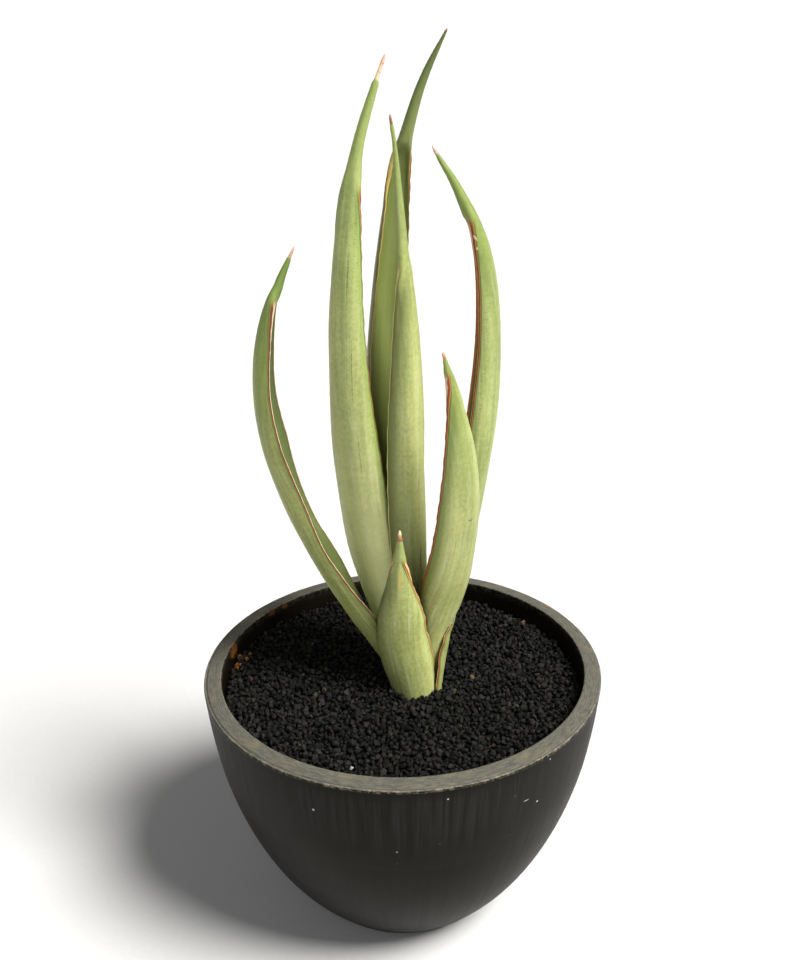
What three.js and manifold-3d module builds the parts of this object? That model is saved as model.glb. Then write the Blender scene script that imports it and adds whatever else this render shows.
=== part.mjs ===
// Potted hellfire snake plant: a deep round bowl, its granular substrate and seven channelled leaves.
// Millimetres, +Z up, the origin at the centre of the bowl's foot, the viewer on the -Y side.
import * as THREE from "three";
import { mergeVertices } from "three/addons/utils/BufferGeometryUtils.js";
import Module from "manifold-3d";

// Bowl. The rim slopes down a little from its inner to its outer edge.
const rimOuterRadius = 80;
const rimInnerRadius = 73;
const rimInnerHeight = 110;
const rimOuterHeight = 108.8;
const footRadius = 34;
const floorThickness = 8;
const bowlSegments = 60;
// Outer wall from the foot up, as [radius, height].
const outerWall = [[36.5, 1.6], [43.5, 9], [51.5, 19], [59.1, 31], [65.9, 45], [71.4, 60], [75.4, 75],
  [78.1, 91]];
// Inner wall from below the rim down.
const innerWall = [[72.5, 104], [71.2, 91], [68.2, 75.5], [63.9, 59.5], [57.9, 43.5], [50, 29.5],
  [41, 18], [31.5, 10], [26, floorThickness]];
// Drain holes, off centre.
const drainCount = 3;
const drainRadius = 4.5;
const drainCircle = 17;

// Substrate: its surface lies below the rim, is slightly uneven, falls towards +X and +Y and rises a
// little round the plant.
const surfaceHeight = 103.6;
const surfaceFall = 0.012;
const surfaceRise = 1.2;
const riseReach = 30;
const surfaceRelief = 0.6;
const substrateSegments = 44;
// Gap that neighbouring bodies keep.
const fitGap = 0.4;

// Leaves. spine: middle of the section, from the buried base to the tip.
// facing: direction the channel opens to, degrees anticlockwise from +X, at fractions of the length.
// width: chord between the margins. cup: sagitta of the section. thick: thickness at the keel.
// throat: fraction of the length at which the channel ends and the solid tip begins.
const leaves = {
  leaf_front_short: {
    spine: [[3.5, -9, 92], [3.5, -9.5, 104], [0.5, -11, 127], [-1.7, -13, 144], [-1.4, -15, 158],
      [-1, -17, 172], [-1, -18, 179]],
    facing: [[0, 82], [1, 85]],
    width: [[0, 16], [0.14, 18], [0.3, 22], [0.42, 21], [0.55, 17], [0.68, 12], [0.78, 7.2],
      [0.85, 4.2], [0.925, 1.6], [1, 0.4]],
    cup: [[0, 8], [0.14, 8.5], [0.35, 7.5], [0.55, 6], [0.7, 3.5], [0.8, 0.8], [0.86, 0], [1, 0]],
    thick: [[0, 2], [0.35, 3.2], [0.6, 4], [0.78, 4], [0.85, 3.8], [0.925, 1.6], [1, 0.4]],
    throat: 0.78,
    colour: 0xa9b878,
  },
  leaf_right: {
    spine: [[11.5, -1, 92], [11.5, -1, 104], [14.5, 3.5, 120], [22, 11.5, 151.5], [28, 14, 186],
      [32, 15, 219.5], [33, 15, 248], [30, 14, 276], [23, 13, 296], [12, 12, 313.5]],
    facing: [[0, 172], [0.3, 178], [1, 182]],
    width: [[0, 14], [0.08, 15.5], [0.15, 14], [0.3, 15], [0.5, 17], [0.65, 14], [0.75, 11],
      [0.82, 8], [0.87, 5], [0.91, 3.1], [0.945, 1.9], [0.985, 0.9], [1, 0.4]],
    cup: [[0, 6], [0.1, 6.5], [0.3, 6.5], [0.5, 7.3], [0.65, 5.7], [0.75, 4], [0.83, 1.8], [0.88, 0],
      [1, 0]],
    thick: [[0, 1.8], [0.1, 2.2], [0.3, 4.2], [0.6, 4.8], [0.8, 4.5], [0.87, 4], [0.91, 3],
      [0.945, 1.9], [0.985, 0.9], [1, 0.4]],
    throat: 0.875,
    colour: 0xa3b575,
  },
  leaf_right_short: {
    spine: [[8, -3, 92], [9, -3, 104], [13, -3.5, 127], [19.5, -7.5, 157], [23, -12, 188],
      [21.5, -15.5, 215.5], [18.5, -17, 234], [15, -18, 248]],
    facing: [[0, 120], [0.25, 112], [0.5, 130], [1, 138]],
    width: [[0, 7], [0.1, 8], [0.25, 15], [0.42, 20.5], [0.6, 18], [0.75, 12.5], [0.85, 8],
      [0.9, 5.5], [0.945, 3], [0.98, 1.3], [1, 0.4]],
    cup: [[0, 2.5], [0.1, 3], [0.3, 5.5], [0.6, 6], [0.75, 4], [0.87, 1.5], [0.92, 0], [1, 0]],
    thick: [[0, 2], [0.3, 3.8], [0.6, 4.2], [0.85, 3.6], [0.9, 3.6], [0.945, 2.8], [0.98, 1.3],
      [1, 0.4]],
    throat: 0.9,
    colour: 0xa6b676,
  },
  leaf_left: {
    spine: [[-1, -2.5, 92], [-2.5, -2, 104], [-10.5, -1, 124], [-24, -4, 152], [-37.5, -5, 179.5],
      [-46, -5, 208], [-49, -4, 229.5], [-46.5, -3, 255.5], [-42.5, -2.5, 269], [-36.5, -2, 281.5]],
    facing: [[0, -5], [0.15, -8], [0.35, -8], [0.6, -3], [1, -3]],
    width: [[0, 6], [0.1, 8], [0.25, 15], [0.4, 17], [0.6, 16], [0.75, 12], [0.84, 8], [0.89, 5],
      [0.93, 3], [0.967, 1.9], [1, 0.4]],
    cup: [[0, 2], [0.1, 3.5], [0.25, 7], [0.4, 7], [0.6, 6], [0.75, 4], [0.84, 2], [0.9, 0.4],
      [0.92, 0], [1, 0]],
    thick: [[0, 2], [0.1, 3], [0.25, 4.5], [0.6, 4.5], [0.8, 4.2], [0.89, 3.8], [0.93, 3],
      [0.967, 1.9], [1, 0.4]],
    throat: 0.89,
    colour: 0x98a468,
  },
  leaf_tall_left: {
    spine: [[1.5, -1, 92], [0.5, -0.5, 104], [-6, 4, 131], [-13.5, 5.5, 162.5], [-18.5, 2, 203.5],
      [-20, -3, 248], [-17.5, -6, 289], [-14, -7, 314.5], [-8.5, -6.5, 333], [-4, -5.5, 345]],
    facing: [[0, 70], [0.3, 65], [1, 60]],
    width: [[0, 6], [0.05, 7], [0.18, 18], [0.27, 22.5], [0.4, 20], [0.5, 17], [0.6, 13.5],
      [0.7, 10.5], [0.78, 8], [0.83, 5.4], [0.88, 3.3], [0.93, 2.5], [0.965, 1.8], [1, 0.4]],
    cup: [[0, 2], [0.2, 6.5], [0.5, 6], [0.7, 4], [0.8, 1.5], [0.86, 0], [1, 0]],
    thick: [[0, 2], [0.2, 4], [0.6, 4.2], [0.78, 4], [0.83, 4], [0.88, 3.2], [0.93, 2.5],
      [0.965, 1.8], [1, 0.4]],
    throat: 0.83,
    colour: 0xa8b577,
  },
  leaf_centre: {
    spine: [[5, 2, 92], [5, 2, 104], [4.5, 4.5, 126], [3, 5.5, 156], [2, 4.5, 191], [2.5, 2, 237.5],
      [2, 1, 273.5], [0.5, 0.5, 298.5], [-1, 0, 316.5], [-2.5, 0, 325.5]],
    facing: [[0, 100], [0.3, 105], [1, 125]],
    width: [[0, 6], [0.05, 6.5], [0.2, 13], [0.35, 17], [0.5, 15.5], [0.6, 13], [0.7, 10], [0.75, 7],
      [0.79, 4.8], [0.84, 3.7], [0.9, 2.8], [0.95, 1.7], [0.98, 1], [1, 0.4]],
    cup: [[0, 2], [0.2, 5], [0.5, 6], [0.65, 4], [0.75, 1.5], [0.8, 0], [1, 0]],
    thick: [[0, 2], [0.2, 4], [0.5, 4.2], [0.7, 4], [0.79, 4], [0.84, 3.4], [0.9, 2.6], [0.95, 1.7],
      [0.98, 1], [1, 0.4]],
    throat: 0.78,
    colour: 0x9fae79,
  },
  leaf_tall_back: {
    spine: [[4, 6, 92], [3.5, 6.5, 104], [0, 13, 146], [-2.5, 15, 187], [-3.5, 15.5, 228.5],
      [-3, 16.5, 267.5], [0.5, 18, 306], [5, 17, 324], [9.5, 17, 336.5], [17, 16, 351.5]],
    facing: [[0, -90], [1, -90]],
    width: [[0, 10], [0.2, 16], [0.4, 17], [0.55, 16], [0.7, 12], [0.78, 9], [0.83, 6.5],
      [0.86, 4.6], [0.9, 3.6], [0.95, 2.4], [0.98, 1.4], [1, 0.4]],
    cup: [[0, 3], [0.2, 6], [0.55, 6], [0.7, 4], [0.8, 2], [0.86, 0], [1, 0]],
    thick: [[0, 2], [0.2, 4], [0.6, 4.2], [0.8, 4.2], [0.86, 4], [0.9, 3.3], [0.95, 2.4],
      [0.98, 1.4], [1, 0.4]],
    throat: 0.845,
    colour: 0x8fa062,
  },
};
const leafStations = 32;
const sectionSteps = 8;
const marginThickness = 1.1;

const wasm = await Module();
wasm.setup();

// Value at t of a table of [t, value] pairs, joined smoothly and without overshoot.
function valueAt(table, t) {
  const last = table.length - 1;
  if (t <= table[0][0]) {
    return table[0][1];
  }
  if (t >= table[last][0]) {
    return table[last][1];
  }
  let i = 0;
  while (table[i + 1][0] <= t) {
    i += 1;
  }
  const rise = (k) => (table[k + 1][1] - table[k][1]) / (table[k + 1][0] - table[k][0]);
  const slope = (k) => {
    if (k === 0) {
      return rise(0);
    }
    if (k === last) {
      return rise(last - 1);
    }
    const a = rise(k - 1);
    const b = rise(k);
    return a * b <= 0 ? 0 : (2 * a * b) / (a + b);
  };
  const h = table[i + 1][0] - table[i][0];
  const s = (t - table[i][0]) / h;
  const s2 = s * s;
  const s3 = s2 * s;
  return (2 * s3 - 3 * s2 + 1) * table[i][1] + (s3 - 2 * s2 + s) * h * slope(i)
    + (-2 * s3 + 3 * s2) * table[i + 1][1] + (s3 - s2) * h * slope(i + 1);
}

// Outline of a channelled section as [across, towards the channel] pairs, from one margin round the keel
// to the other and back along the channel. grow thickens it all round.
function leafSection(width, cup, thickness, bladeShare, grow) {
  const sag = Math.max(cup, 0.02 * width);
  const halfAngle = 2 * Math.atan((2 * sag) / width);
  const radius = width / (2 * Math.sin(halfAngle));
  const edge = Math.min(marginThickness, thickness);
  const power = 2 * (1 + 11 * bladeShare);
  const shift = (sag + thickness / 2 - (edge / 2) * bladeShare) / 2;
  const outer = [];
  const inner = [];
  for (let k = 0; k <= sectionSteps; k += 1) {
    const s = -Math.cos((Math.PI * k) / sectionSteps);
    const fade = Math.abs(s) ** 2.4 * bladeShare;
    const bulge = Math.sqrt(Math.max(0, 1 - Math.abs(s) ** power));
    const half = ((thickness * (1 - fade) + edge * fade) / 2 + grow) * bulge;
    const a = s * (halfAngle + grow / radius);
    const across = radius * Math.sin(a);
    const depth = shift - radius * (Math.cos(a) - Math.cos(halfAngle));
    outer.push([across + Math.sin(a) * half, depth - Math.cos(a) * half]);
    inner.push([across - Math.sin(a) * half, depth + Math.cos(a) * half]);
  }
  return [...outer, ...inner.slice(1, -1).reverse()];
}

// Closed leaf body swept along its spine; grow thickens it all round and lengthens its buried end.
function leafGeometry(leaf, grow) {
  const points = leaf.spine.map(([x, y, z], i) => new THREE.Vector3(x, y, i === 0 ? z - 2 * grow : z));
  const curve = new THREE.CatmullRomCurve3(points, false, "centripetal");
  curve.arcLengthDivisions = 400;
  const positions = [];
  const ringSize = 2 * sectionSteps;
  for (let i = 0; i <= leafStations; i += 1) {
    const t = 1 - (1 - i / leafStations) ** 1.15;
    const centre = curve.getPointAt(t);
    const along = curve.getTangentAt(t);
    const turn = THREE.MathUtils.degToRad(valueAt(leaf.facing, t));
    const open = new THREE.Vector3(Math.cos(turn), Math.sin(turn), 0);
    open.addScaledVector(along, -open.dot(along)).normalize();
    const side = new THREE.Vector3().crossVectors(along, open);
    const rise = THREE.MathUtils.clamp((leaf.throat + 0.01 - t) / 0.05, 0, 1);
    const bladeShare = rise * rise * (3 - 2 * rise);
    const [width, cup, thickness] = [leaf.width, leaf.cup, leaf.thick].map((table) => valueAt(table, t));
    const ring = leafSection(width, cup, thickness, bladeShare, grow);
    for (const [across, depth] of ring) {
      const p = centre.clone().addScaledVector(side, across).addScaledVector(open, depth);
      positions.push(p.x, p.y, p.z);
    }
  }
  const index = [];
  for (let i = 0; i < leafStations; i += 1) {
    for (let j = 0; j < ringSize; j += 1) {
      const a = i * ringSize + j;
      const b = i * ringSize + ((j + 1) % ringSize);
      index.push(a, b, b + ringSize, a, b + ringSize, a + ringSize);
    }
  }
  // Each end is closed by strips between its keel side and its channel side.
  const tipRing = leafStations * ringSize;
  for (let j = 0; j < sectionSteps; j += 1) {
    const c = (ringSize - j) % ringSize;
    const d = ringSize - j - 1;
    if (j > 0) {
      index.push(j, c, j + 1);
      index.push(tipRing + j, tipRing + j + 1, tipRing + c);
    }
    if (j < sectionSteps - 1) {
      index.push(j + 1, c, d);
      index.push(tipRing + j + 1, tipRing + d, tipRing + c);
    }
  }
  const geometry = new THREE.BufferGeometry();
  geometry.setAttribute("position", new THREE.Float32BufferAttribute(positions, 3));
  geometry.setIndex(index);
  return geometry;
}

// Turns a profile of [radius, height] pairs that starts and ends on the axis into a closed body.
function lathe(profile, segments) {
  const geometry = new THREE.LatheGeometry(profile.map(([r, z]) => new THREE.Vector2(r, z)), segments);
  geometry.rotateX(Math.PI / 2);
  return geometry;
}

// Solid of a closed geometry, its faces turned outward.
function toSolid(geometry) {
  const bare = geometry.clone();
  bare.deleteAttribute("normal");
  bare.deleteAttribute("uv");
  const welded = mergeVertices(bare, 1e-4);
  const vertProperties = new Float32Array(welded.attributes.position.array);
  const triVerts = new Uint32Array(welded.index.array);
  let volume = 0;
  const corner = [new THREE.Vector3(), new THREE.Vector3(), new THREE.Vector3()];
  for (let i = 0; i < triVerts.length; i += 3) {
    corner.forEach((v, k) => v.fromArray(vertProperties, 3 * triVerts[i + k]));
    volume += corner[0].dot(corner[1].clone().cross(corner[2])) / 6;
  }
  if (volume < 0) {
    for (let i = 0; i < triVerts.length; i += 3) {
      [triVerts[i + 1], triVerts[i + 2]] = [triVerts[i + 2], triVerts[i + 1]];
    }
  }
  return new wasm.Manifold(new wasm.Mesh({ numProp: 3, vertProperties, triVerts }));
}

function toMesh(solid, name, colour, roughness, metalness) {
  const { vertProperties, triVerts } = solid.getMesh();
  const geometry = new THREE.BufferGeometry();
  geometry.setAttribute("position", new THREE.Float32BufferAttribute(vertProperties, 3));
  geometry.setIndex(Array.from(triVerts));
  geometry.computeVertexNormals();
  const material = new THREE.MeshStandardMaterial({ color: colour, roughness, metalness });
  const mesh = new THREE.Mesh(geometry, material);
  mesh.name = name;
  return mesh;
}

// Bowl with its drain holes.
const bowlProfile = [[0, 0], [footRadius, 0], ...outerWall, [rimOuterRadius, rimOuterHeight],
  [rimInnerRadius, rimInnerHeight], ...innerWall, [0, floorThickness]];
let bowl = toSolid(lathe(bowlProfile, bowlSegments));
for (let k = 0; k < drainCount; k += 1) {
  const turn = (2 * Math.PI * k) / drainCount + Math.PI / 2;
  const hole = new THREE.CylinderGeometry(drainRadius, drainRadius, 4 * floorThickness, 24);
  hole.rotateX(Math.PI / 2);
  hole.translate(drainCircle * Math.cos(turn), drainCircle * Math.sin(turn), 0);
  bowl = bowl.subtract(toSolid(hole));
}

// Leaves: where two would share space, the one listed first keeps its shape.
const leafSolids = {};
const keptClear = [];
for (const [name, leaf] of Object.entries(leaves)) {
  let solid = toSolid(leafGeometry(leaf, 0));
  for (const other of keptClear) {
    solid = solid.subtract(other);
  }
  leafSolids[name] = solid;
  keptClear.push(toSolid(leafGeometry(leaf, fitGap)));
}

// Substrate: fills the bowl up to its uneven surface and leaves room for the buried ends of the leaves.
const substrateProfile = [[0, floorThickness + fitGap]];
for (const [r, z] of [...innerWall].reverse()) {
  if (z < surfaceHeight - 4) {
    substrateProfile.push([r - fitGap, z + fitGap]);
  }
}
substrateProfile.push([71.8, surfaceHeight]);
for (let r = 62; r > 1; r -= 10) {
  substrateProfile.push([r, surfaceHeight]);
}
substrateProfile.push([0, surfaceHeight]);
const substrateGeometry = lathe(substrateProfile, substrateSegments);
const vertices = substrateGeometry.attributes.position;
for (let i = 0; i < vertices.count; i += 1) {
  const x = vertices.getX(i);
  const y = vertices.getY(i);
  if (vertices.getZ(i) > surfaceHeight - 0.1) {
    const rise = surfaceRise * Math.exp(-((Math.hypot(x, y) / riseReach) ** 2)) - surfaceFall * (x + y);
    const waves = Math.sin(0.31 * x + 0.7) * Math.cos(0.27 * y - 0.4) + 0.5 * Math.sin(0.53 * y + 0.19 * x);
    const calm = Math.min(1, (rimInnerRadius - Math.hypot(x, y)) / 8);
    vertices.setZ(i, surfaceHeight + rise + surfaceRelief * waves * calm);
  }
}
let substrate = toSolid(substrateGeometry);
for (const leafRoom of keptClear) {
  substrate = substrate.subtract(leafRoom);
}

const plant = new THREE.Group();
plant.name = "potted_hellfire_snake_plant";
plant.add(toMesh(bowl, "pot", 0x2b2b2c, 0.45, 0));
plant.add(toMesh(substrate, "substrate", 0x1e1e1e, 0.95, 0));
for (const [name, leaf] of Object.entries(leaves)) {
  plant.add(toMesh(leafSolids[name], name, leaf.colour, 0.5, 0));
}

export default plant;
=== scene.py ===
# Potted hellfire snake plant: a black bowl of lava grit with seven channelled leaves.
import math

import bpy
import numpy as np
from mathutils import Matrix, Vector
from mathutils.bvhtree import BVHTree


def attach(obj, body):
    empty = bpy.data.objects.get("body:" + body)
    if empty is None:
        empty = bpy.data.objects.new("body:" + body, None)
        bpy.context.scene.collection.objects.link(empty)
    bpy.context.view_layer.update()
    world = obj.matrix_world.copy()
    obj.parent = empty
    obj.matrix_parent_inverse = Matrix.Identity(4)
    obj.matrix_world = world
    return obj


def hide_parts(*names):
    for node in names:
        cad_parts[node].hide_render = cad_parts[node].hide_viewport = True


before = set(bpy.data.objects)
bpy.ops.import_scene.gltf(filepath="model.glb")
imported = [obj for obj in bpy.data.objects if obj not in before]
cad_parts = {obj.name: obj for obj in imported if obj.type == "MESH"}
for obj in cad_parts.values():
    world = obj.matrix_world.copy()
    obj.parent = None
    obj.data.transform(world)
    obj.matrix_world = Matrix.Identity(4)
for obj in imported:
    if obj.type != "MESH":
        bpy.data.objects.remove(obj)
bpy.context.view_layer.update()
scene = bpy.context.scene
mm = 0.001
print("frame loaded:", len(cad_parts), "nodes")

# Camera, half a metre from the rim and looking down at it, at the picture's angle.
view = {
    "place": (0.0, -421.2, 379.5),  # mm
    "down": 24.05,                  # degrees
    "turn": 2.75,                   # towards +X
    "roll": 0.49,
    "lens": 45.54,                  # on a 36 mm frame, the long side of the image
    "shift": -0.0573,
}


def aimCamera(view):
    down, turn, roll = (math.radians(view[key]) for key in ("down", "turn", "roll"))
    ahead = Vector((math.sin(turn) * math.cos(down), math.cos(turn) * math.cos(down), -math.sin(down)))
    right = ahead.cross(Vector((0, 0, 1))).normalized()
    up = right.cross(ahead)
    tiltedRight = right * math.cos(roll) + up * math.sin(roll)
    tiltedUp = up * math.cos(roll) - right * math.sin(roll)
    lens = bpy.data.cameras.new("camera")
    lens.lens = view["lens"]
    lens.sensor_width = 36
    lens.sensor_fit = "AUTO"
    lens.shift_x = view["shift"]
    lens.clip_start = 0.01
    lens.dof.use_dof = False
    camera = bpy.data.objects.new("camera", lens)
    axes = Matrix((tiltedRight, tiltedUp, -ahead)).transposed().to_4x4()
    camera.matrix_world = Matrix.Translation(Vector(view["place"]) * mm) @ axes
    scene.collection.objects.link(camera)
    scene.camera = camera


aimCamera(view)

# Studio: a wide warm key from the upper right, a softbox in front and a pale surround.
studio = {
    "key": {"place": (0.78, -0.46, 1.35), "power": 6.3, "colour": (1.0, 0.985, 0.95)},
    "keySpread": 24,             # degrees
    "front": {"place": (-0.25, -1.3, 1.0), "power": 3.2, "colour": (0.93, 0.96, 1.0)},
    "frontSize": 0.8,
    "aim": (0.0, 0.0, 0.12),
    "surround": (1.0, 0.99, 0.97),
    "surroundPower": 0.15,
    "horizonPower": 0.5,         # low down, behind the floor's edge
    "horizonBand": (0.12, 0.5),  # where it fades, as the sine of the angle above the floor
}


def addLamp(name, kind):
    lamp = studio[name]
    light = bpy.data.lights.new(name, kind)
    light.energy = lamp["power"]
    light.color = lamp["colour"]
    holder = bpy.data.objects.new(name, light)
    holder.location = lamp["place"]
    ahead = Vector(studio["aim"]) - Vector(lamp["place"])
    holder.rotation_euler = ahead.to_track_quat("-Z", "Y").to_euler()
    scene.collection.objects.link(holder)
    return light


addLamp("key", "SUN").angle = math.radians(studio["keySpread"])
addLamp("front", "AREA").size = studio["frontSize"]
scene.view_settings.view_transform = "Standard"
print("camera and lamps placed")


# Node shorthand: each returns the output socket of the node that it adds.
def feed(tree, socket, value):
    if isinstance(value, bpy.types.NodeSocket):
        tree.links.new(value, socket)
    elif socket.type == "RGBA":
        socket.default_value = (*value, 1)
    else:
        socket.default_value = value


def calc(tree, operation, a, b=0.0, c=0.0, clamp=False):
    node = tree.nodes.new("ShaderNodeMath")
    node.operation = operation
    node.use_clamp = clamp
    for socket, value in zip(node.inputs, (a, b, c)):
        feed(tree, socket, value)
    return node.outputs[0]


def times(tree, a, b):
    return calc(tree, "MULTIPLY", a, b)


def timesPlus(tree, a, b, c, clamp=False):
    return calc(tree, "MULTIPLY_ADD", a, b, c, clamp)


def blend(tree, share, a, b):
    node = tree.nodes.new("ShaderNodeMix")
    node.data_type = "RGBA"
    feed(tree, node.inputs[0], share)
    feed(tree, node.inputs[6], a)
    feed(tree, node.inputs[7], b)
    return node.outputs[2]


def coat(tree, colour, paint, mask, share):
    # Paint over a colour where the mask says, and no thicker than the share.
    return blend(tree, times(tree, mask, share), colour, paint)


def spread(tree, value, low, high, toLow=0.0, toHigh=1.0):
    node = tree.nodes.new("ShaderNodeMapRange")
    node.interpolation_type = "SMOOTHSTEP"
    for socket, number in zip(node.inputs, (value, low, high, toLow, toHigh)):
        feed(tree, socket, number)
    return node.outputs[0]


def reading(tree, name, output="Fac"):
    node = tree.nodes.new("ShaderNodeAttribute")
    node.attribute_type = "GEOMETRY"
    node.attribute_name = name
    return node.outputs[output]


def scaled(tree, place, size, shift=(0, 0, 0)):
    node = tree.nodes.new("ShaderNodeMapping")
    feed(tree, node.inputs["Vector"], place)
    node.inputs["Scale"].default_value = size
    node.inputs["Location"].default_value = shift
    return node.outputs[0]


def noise(tree, place, size=1.0, detail=2.0, rough=0.5):
    node = tree.nodes.new("ShaderNodeTexNoise")
    feed(tree, node.inputs["Vector"], place)
    node.inputs["Scale"].default_value = size
    node.inputs["Detail"].default_value = detail
    node.inputs["Roughness"].default_value = rough
    return node.outputs["Fac"]


def vectors(tree, operation, a, b=(0, 0, 0), output="Vector"):
    node = tree.nodes.new("ShaderNodeVectorMath")
    node.operation = operation
    feed(tree, node.inputs[0], a)
    feed(tree, node.inputs[1], b)
    return node.outputs[output]


def spot(tree, place, centre, reach):
    # Round soft spot: 1 at its centre, 0 at its reach. A reach may differ along each axis.
    away = vectors(tree, "DIVIDE", vectors(tree, "SUBTRACT", place, centre), reach)
    return spread(tree, vectors(tree, "LENGTH", away, output="Value"), 1.0, 0.0)


def bump(tree, height, depth, strength=1.0, normal=None):
    node = tree.nodes.new("ShaderNodeBump")
    node.inputs["Strength"].default_value = strength
    node.inputs["Distance"].default_value = depth * mm
    feed(tree, node.inputs["Height"], height)
    if normal is not None:
        tree.links.new(normal, node.inputs["Normal"])
    return node.outputs[0]


def newFinish(name, specular):
    finish = bpy.data.materials.new(name)
    finish.use_nodes = True
    inputs = finish.node_tree.nodes["Principled BSDF"].inputs
    inputs["Specular IOR Level"].default_value = specular
    return finish, finish.node_tree, inputs


def dress(tree, inputs, colour, rough, normal):
    for key, socket in (("Base Color", colour), ("Roughness", rough), ("Normal", normal)):
        feed(tree, inputs[key], socket)


def lightSurround(studio):
    scene.world = bpy.data.worlds.new("surround")
    scene.world.use_nodes = True
    tree = scene.world.node_tree
    axes = tree.nodes.new("ShaderNodeSeparateXYZ")
    feed(tree, axes.inputs[0], tree.nodes.new("ShaderNodeTexCoord").outputs["Generated"])
    low, high = studio["horizonBand"]
    power = spread(tree, axes.outputs["Z"], high, low, studio["surroundPower"], studio["horizonPower"])
    inputs = tree.nodes["Background"].inputs
    inputs["Color"].default_value = (*studio["surround"], 1)
    feed(tree, inputs["Strength"], power)


lightSurround(studio)


# sRGB numbers of 0 to 255 as scene colour.
def tint(red, green, blue):
    shares = [v / 255 for v in (red, green, blue)]
    return tuple(v / 12.92 if v <= 0.04045 else ((v + 0.055) / 1.055) ** 2.4 for v in shares)


def smooth(values):
    values = np.clip(values, 0, 1)
    return values * values * (3 - 2 * values)


def addPiece(name, points, faces, finish, shadeSmooth=True):
    mesh = bpy.data.meshes.new(name)
    corners = (np.asarray(points) * mm).tolist()
    mesh.from_pydata(corners, [], faces if isinstance(faces, list) else faces.tolist())
    mesh.polygons.foreach_set("use_smooth", [shadeSmooth] * len(mesh.polygons))
    mesh.materials.append(finish)
    piece = bpy.data.objects.new(name, mesh)
    scene.collection.objects.link(piece)
    return piece


def store(piece, name, values):
    kind, key = ("FLOAT_VECTOR", "vector") if values.ndim == 2 else ("FLOAT", "value")
    attribute = piece.data.attributes.new(name, kind, "POINT")
    attribute.data.foreach_set(key, np.ascontiguousarray(values, np.float32).ravel())


def settle(piece, slot, *nodes):
    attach(piece, "root")
    if nodes:
        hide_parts(*nodes)
    print(piece.name, "made:", sum(len(p.vertices) - 2 for p in piece.data.polygons), "triangles")


# Floor: plain, pale and matt.
paper = {
    "half": 30000,  # half of its side, mm
    "shades": ((0.58, 0.58, 0.58), (0.62, 0.62, 0.62)),
}


def layFloor(paper):
    finish, tree, inputs = newFinish("palePaper", 0.2)
    where = tree.nodes.new("ShaderNodeTexCoord").outputs["Object"]
    feed(tree, inputs["Base Color"], blend(tree, noise(tree, where, 400, 3), *paper["shades"]))
    inputs["Roughness"].default_value = 0.9
    far = paper["half"]
    corners = [(-far, -far, 0), (far, -far, 0), (far, far, 0), (-far, far, 0)]
    addPiece("floor", corners, [(0, 1, 2, 3)], finish)


layFloor(paper)


def curveThrough(points, count):
    # Points along a smooth curve through the given ones, and its length. The count is a number of even
    # steps, or the places themselves as shares of the length.
    points = np.array(points, float)
    ends = np.vstack([2 * points[0] - points[1], points, 2 * points[-1] - points[-2]])
    gaps = np.sqrt(np.linalg.norm(np.diff(ends, axis=0), axis=1))
    pieces = []
    share = np.linspace(0, 1, 24, endpoint=False)[:, None]
    for i in range(1, len(points)):
        p0, p1, p2, p3 = ends[i - 1:i + 3]
        d0, d1, d2 = gaps[i - 1:i + 2]
        leave = ((p1 - p0) / d0 - (p2 - p0) / (d0 + d1) + (p2 - p1) / d1) * d1
        arrive = ((p2 - p1) / d1 - (p3 - p1) / (d1 + d2) + (p3 - p2) / d2) * d1
        pieces.append(p1 + leave * share + (3 * (p2 - p1) - 2 * leave - arrive) * share ** 2
                      + (2 * (p1 - p2) + leave + arrive) * share ** 3)
    line = np.vstack([*pieces, points[-1:]])
    run = pathLength(line)
    at = (np.linspace(0, 1, count) if np.ndim(count) == 0 else count) * run[-1]
    return np.stack([np.interp(at, run, line[:, k]) for k in range(line.shape[1])], 1), run[-1]


def pathLength(points):
    return np.concatenate([[0], np.cumsum(np.linalg.norm(np.diff(points, axis=0), axis=1))])


def waves(turn, sizes, seed):
    # Smooth unevenness along an angle: sines of whole numbers of waves, each with its own start.
    return sum(size * np.sin(number * turn + seed * (k + 1.7)) for k, (number, size) in enumerate(sizes))


def turnedFaces(rings, steps):
    # Sides between the rings of a turned shape, then fans to its first and its last centre point.
    after = [(j + 1) % steps for j in range(steps)]
    faces = [(k * steps + j, k * steps + after[j], (k + 1) * steps + after[j], (k + 1) * steps + j)
             for k in range(rings - 1) for j in range(steps)]
    last = (rings - 1) * steps
    faces += [(rings * steps, after[j], j) for j in range(steps)]
    faces += [(rings * steps + 1, last + j, last + after[j]) for j in range(steps)]
    return faces


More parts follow.
